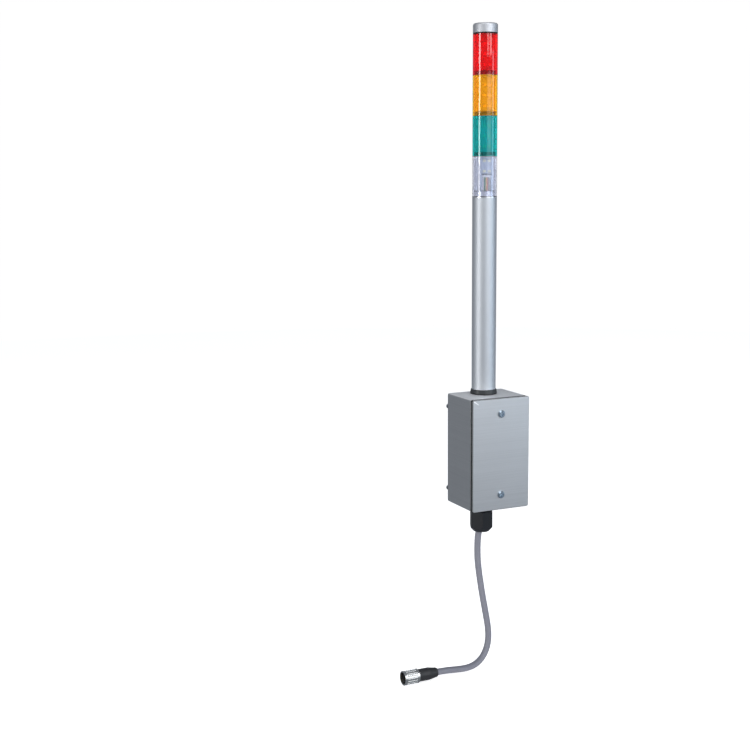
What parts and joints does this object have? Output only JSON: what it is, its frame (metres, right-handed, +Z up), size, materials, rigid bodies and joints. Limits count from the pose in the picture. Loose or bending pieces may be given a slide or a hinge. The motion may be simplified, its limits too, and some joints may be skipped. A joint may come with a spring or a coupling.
{
  "type": "stack light",
  "caption": "Signal tower of stacked coloured lenses on an aluminium pole, carried by a small wall-mounted steel wiring box with a hanging cable and plug.",
  "frame": {"origin": "centre of the four mounting holes, on the wall plane behind the box", "axes": "+Z runs up the pole, +Y points into the wall, the box cover faces -Y"},
  "size_m": [0.1628, 0.0751, 0.8495],
  "materials": {
    "cap_metal": "satin machined",
    "plate_black": "moulded, near black",
    "rod_steel": "bright zinc plate",
    "seal_clear": "translucent soft plastic",
    "seal_dark": "soft, near black",
    "lens_red": "translucent, glossy outside, ribbed inside",
    "lens_amber": "translucent, glossy outside, ribbed inside",
    "lens_green": "translucent, glossy outside, ribbed inside",
    "lens_clear": "translucent, glossy outside, ribbed inside",
    "divider_white": "moulded white",
    "board": "pale blue-grey solder mask",
    "lamp": "pale yellow lamp face",
    "holder_metal": "satin machined",
    "pole_metal": "satin anodised",
    "collar": "moulded, grey-black",
    "zinc": "zinc plate",
    "header": "moulded, off-white",
    "box_steel": "stainless, horizontal brush lines",
    "gasket": "soft, black",
    "screw_zinc": "bright zinc plate",
    "terminal": "moulded, light grey",
    "gland": "moulded, near black",
    "cable_sheath": "grey sheath, soft sheen",
    "plug_black": "overmoulded, near black",
    "plug_metal": "nickel plate",
    "contact": "gold flash",
    "wire_white": "insulation",
    "wire_green": "insulation",
    "wire_amber": "insulation",
    "wire_red": "insulation",
    "wire_common": "insulation"
  },
  "bodies": {
    "light": {"base_collar": "collar", "base_gasket": "gasket", "board_amber": "board", "board_clear": "board", "board_green": "board", "board_red": "board", "box_body": "box_steel", "box_cover": "box_steel", "cable": "cable_sheath", "cable_tail": "cable_sheath", "clamp_plate": "plate_black", "core_amber": "wire_amber", "core_common": "wire_common", "core_green": "wire_green", "core_red": "wire_red", "core_white": "wire_white", "cover_brackets": "zinc", "cover_gasket": "gasket", "cover_screws": "screw_zinc", "divider_amber_green": "divider_white", "divider_green_clear": "divider_white", "divider_red_amber": "divider_white", "gland_body": "gland", "gland_locknut": "gland", "gland_nut": "gland", "gland_seal": "gasket", "gland_washer": "gland", "lamps_amber": "lamp", "lamps_clear": "lamp", "lamps_green": "lamp", "lamps_red": "lamp", "lens_amber": "lens_amber", "lens_clear": "lens_clear", "lens_green": "lens_green", "lens_holder": "holder_metal", "lens_red": "lens_red", "mounting_pads": "holder_metal", "plug_body": "plug_black", "plug_contacts": "contact", "pole": "pole_metal", "pole_foot": "holder_metal", "pole_locknut": "zinc", "pole_washer": "zinc", "seal_amber_green": "seal_clear", "seal_cap": "seal_dark", "seal_green_clear": "seal_clear", "seal_holder": "seal_dark", "seal_red_amber": "seal_clear", "terminal_block": "terminal", "terminal_screws": "screw_zinc", "tie_nuts": "rod_steel", "tie_rods": "rod_steel", "top_cap": "cap_metal", "wire_amber": "wire_amber", "wire_common": "wire_common", "wire_green": "wire_green", "wire_header": "header", "wire_red": "wire_red", "wire_white": "wire_white"},
    "coupling_nut": {"plug_nut": "plug_metal"}
  },
  "joints": [
    {"name": "coupling_nut_turn", "type": "hinge", "parent": "light", "child": "coupling_nut", "pos_m": [-0.11, -0.03, -0.297], "axis": [-1, 0, 0], "continuous": true}
  ]
}
